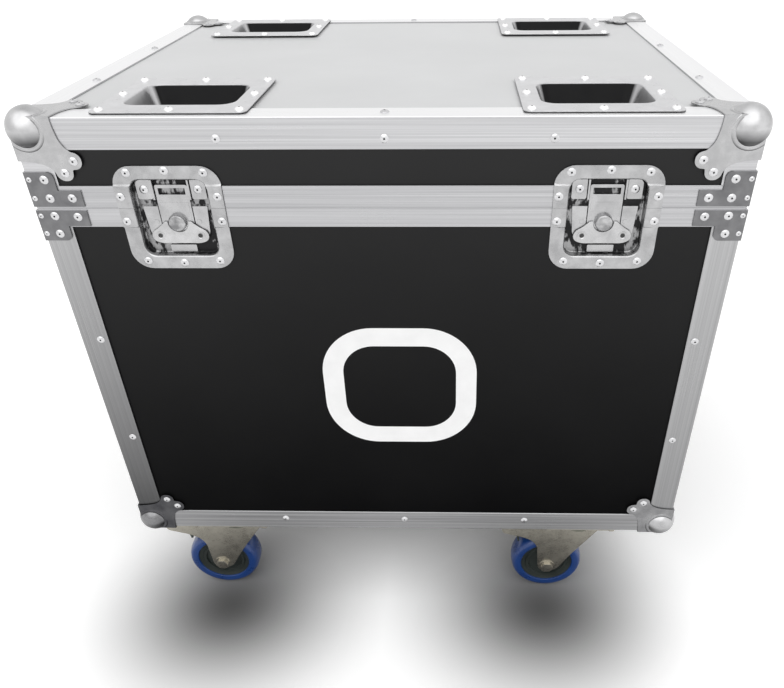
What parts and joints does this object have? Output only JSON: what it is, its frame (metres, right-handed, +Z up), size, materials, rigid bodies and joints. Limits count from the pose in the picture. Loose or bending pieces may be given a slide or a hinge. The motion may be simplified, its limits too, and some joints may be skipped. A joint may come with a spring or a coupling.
{
  "type": "lighting flight case",
  "caption": "Wheeled road case with black laminate walls, aluminium edging, ball corners, hinged lid with stacking cups, butterfly latches and side handles.",
  "frame": {"origin": "centre of the bounding box at floor level, under the wheels", "axes": "+Z up, -Y out of the latched front, +X to the right as seen from the front"},
  "size_m": [0.717, 0.5778, 0.6988],
  "materials": {
    "black_laminate": "black laminate on plywood, fine satin grain",
    "grey_laminate": "light grey laminate on plywood, satin",
    "aluminium": "extruded, satin anodised",
    "plated_steel": "pressed and bright zinc plated",
    "zinc_plate": "yellowish zinc plate",
    "blue_rubber": "moulded, matte",
    "black_rubber": "moulded grip, matte",
    "grey_foam": "open cell, matte"
  },
  "bodies": {
    "case": {"body_front_panel": "black_laminate", "body_back_panel": "black_laminate", "body_left_panel": "black_laminate", "body_right_panel": "black_laminate", "body_bottom_panel": "black_laminate", "bottom_edging": "aluminium", "body_rim": "aluminium", "upright_front_left": "aluminium", "upright_front_right": "aluminium", "upright_back_left": "aluminium", "upright_back_right": "aluminium", "body_ball_corner_front_left": "plated_steel", "body_ball_corner_front_right": "plated_steel", "body_ball_corner_back_left": "plated_steel", "body_ball_corner_back_right": "plated_steel", "latch_body_dish_left": "plated_steel", "latch_body_dish_right": "plated_steel", "hinge_body_leaf_left": "plated_steel", "hinge_body_leaf_right": "plated_steel", "handle_dish_left": "plated_steel", "handle_dish_right": "plated_steel", "caster_plate_front_left": "zinc_plate", "caster_plate_front_right": "zinc_plate", "caster_plate_back_left": "zinc_plate", "caster_plate_back_right": "zinc_plate", "foam_bed": "grey_foam"},
    "lid": {"lid_top_panel": "grey_laminate", "lid_wall_panels": "black_laminate", "lid_edging": "aluminium", "lid_rim": "aluminium", "lid_ball_corner_front_left": "plated_steel", "lid_ball_corner_front_right": "plated_steel", "lid_ball_corner_back_left": "plated_steel", "lid_ball_corner_back_right": "plated_steel", "latch_lid_dish_left": "plated_steel", "latch_lid_dish_right": "plated_steel", "hinge_lid_leaf_left": "plated_steel", "hinge_lid_leaf_right": "plated_steel", "stacking_cup_front_left": "plated_steel", "stacking_cup_front_right": "plated_steel", "stacking_cup_back_left": "plated_steel", "stacking_cup_back_right": "plated_steel"},
    "latch_hook_left": {"latch_hook_left": "zinc_plate"},
    "latch_hub_left": {"latch_hub_left": "zinc_plate"},
    "latch_wing_left": {"latch_wing_left": "zinc_plate"},
    "handle_bail_left": {"handle_bail_left": "black_rubber"},
    "latch_hook_right": {"latch_hook_right": "zinc_plate"},
    "latch_hub_right": {"latch_hub_right": "zinc_plate"},
    "latch_wing_right": {"latch_wing_right": "zinc_plate"},
    "handle_bail_right": {"handle_bail_right": "black_rubber"},
    "fork_front_left": {"caster_fork_front_left": "zinc_plate"},
    "wheel_front_left": {"caster_wheel_front_left": "blue_rubber"},
    "brake_front_left": {"brake_pedal_front_left": "zinc_plate"},
    "fork_front_right": {"caster_fork_front_right": "zinc_plate"},
    "wheel_front_right": {"caster_wheel_front_right": "blue_rubber"},
    "brake_front_right": {"brake_pedal_front_right": "zinc_plate"},
    "fork_back_left": {"caster_fork_back_left": "zinc_plate"},
    "wheel_back_left": {"caster_wheel_back_left": "blue_rubber"},
    "fork_back_right": {"caster_fork_back_right": "zinc_plate"},
    "wheel_back_right": {"caster_wheel_back_right": "blue_rubber"}
  },
  "joints": [
    {"name": "lid_hinge", "type": "hinge", "parent": "case", "child": "lid", "pos_m": [0, 0.2844, 0.6023], "axis": [-1, 0, 0], "range_deg": [0, 100]},
    {"name": "latch_hook_slide_left", "type": "slide", "parent": "case", "child": "latch_hook_left", "axis": [0, 0, 1], "range_m": [0, 0.005]},
    {"name": "latch_turn_left", "type": "hinge", "parent": "case", "child": "latch_hub_left", "pos_m": [-0.214, -0.2804, 0.5848], "axis": [0, -1, 0], "range_deg": [0, 180]},
    {"name": "latch_wing_fold_left", "type": "hinge", "parent": "latch_hub_left", "child": "latch_wing_left", "pos_m": [-0.214, -0.2747, 0.5848], "axis": [-1, 0, 0], "range_deg": [0, 90]},
    {"name": "handle_swing_left", "type": "hinge", "parent": "case", "child": "handle_bail_left", "pos_m": [-0.3432, -0.0004, 0.4473], "axis": [0, 1, 0], "range_deg": [0, 90], "stiffness_Nm_per_rad": 0.4},
    {"name": "latch_hook_slide_right", "type": "slide", "parent": "case", "child": "latch_hook_right", "axis": [0, 0, 1], "range_m": [0, 0.005]},
    {"name": "latch_turn_right", "type": "hinge", "parent": "case", "child": "latch_hub_right", "pos_m": [0.214, -0.2804, 0.5848], "axis": [0, -1, 0], "range_deg": [0, 180]},
    {"name": "latch_wing_fold_right", "type": "hinge", "parent": "latch_hub_right", "child": "latch_wing_right", "pos_m": [0.214, -0.2747, 0.5848], "axis": [-1, 0, 0], "range_deg": [0, 90]},
    {"name": "handle_swing_right", "type": "hinge", "parent": "case", "child": "handle_bail_right", "pos_m": [0.3432, -0.0004, 0.4473], "axis": [0, -1, 0], "range_deg": [0, 90], "stiffness_Nm_per_rad": 0.4},
    {"name": "caster_swivel_front_left", "type": "hinge", "parent": "case", "child": "fork_front_left", "pos_m": [-0.235, -0.2359, 0.1355], "axis": [0, 0, 1], "continuous": true},
    {"name": "wheel_roll_front_left", "type": "hinge", "parent": "fork_front_left", "child": "wheel_front_left", "pos_m": [-0.271, -0.2359, 0.05], "axis": [0, 1, 0], "continuous": true},
    {"name": "brake_press_front_left", "type": "hinge", "parent": "fork_front_left", "child": "brake_front_left", "pos_m": [-0.326, -0.2359, 0.1251], "axis": [0, -1, 0], "range_deg": [0, 12]},
    {"name": "caster_swivel_front_right", "type": "hinge", "parent": "case", "child": "fork_front_right", "pos_m": [0.235, -0.2359, 0.1355], "axis": [0, 0, 1], "continuous": true},
    {"name": "wheel_roll_front_right", "type": "hinge", "parent": "fork_front_right", "child": "wheel_front_right", "pos_m": [0.199, -0.2359, 0.05], "axis": [0, 1, 0], "continuous": true},
    {"name": "brake_press_front_right", "type": "hinge", "parent": "fork_front_right", "child": "brake_front_right", "pos_m": [0.144, -0.2359, 0.1251], "axis": [0, -1, 0], "range_deg": [0, 12]},
    {"name": "caster_swivel_back_left", "type": "hinge", "parent": "case", "child": "fork_back_left", "pos_m": [-0.235, 0.2351, 0.1355], "axis": [0, 0, 1], "continuous": true},
    {"name": "wheel_roll_back_left", "type": "hinge", "parent": "fork_back_left", "child": "wheel_back_left", "pos_m": [-0.271, 0.2351, 0.05], "axis": [0, 1, 0], "continuous": true},
    {"name": "caster_swivel_back_right", "type": "hinge", "parent": "case", "child": "fork_back_right", "pos_m": [0.235, 0.2351, 0.1355], "axis": [0, 0, 1], "continuous": true},
    {"name": "wheel_roll_back_right", "type": "hinge", "parent": "fork_back_right", "child": "wheel_back_right", "pos_m": [0.199, 0.2351, 0.05], "axis": [0, 1, 0], "continuous": true}
  ],
  "couplings": [
    {"joint": "latch_turn_left", "follows": "latch_hook_slide_left", "rad_per_m": 628.32},
    {"joint": "latch_turn_right", "follows": "latch_hook_slide_right", "rad_per_m": 628.32}
  ]
}
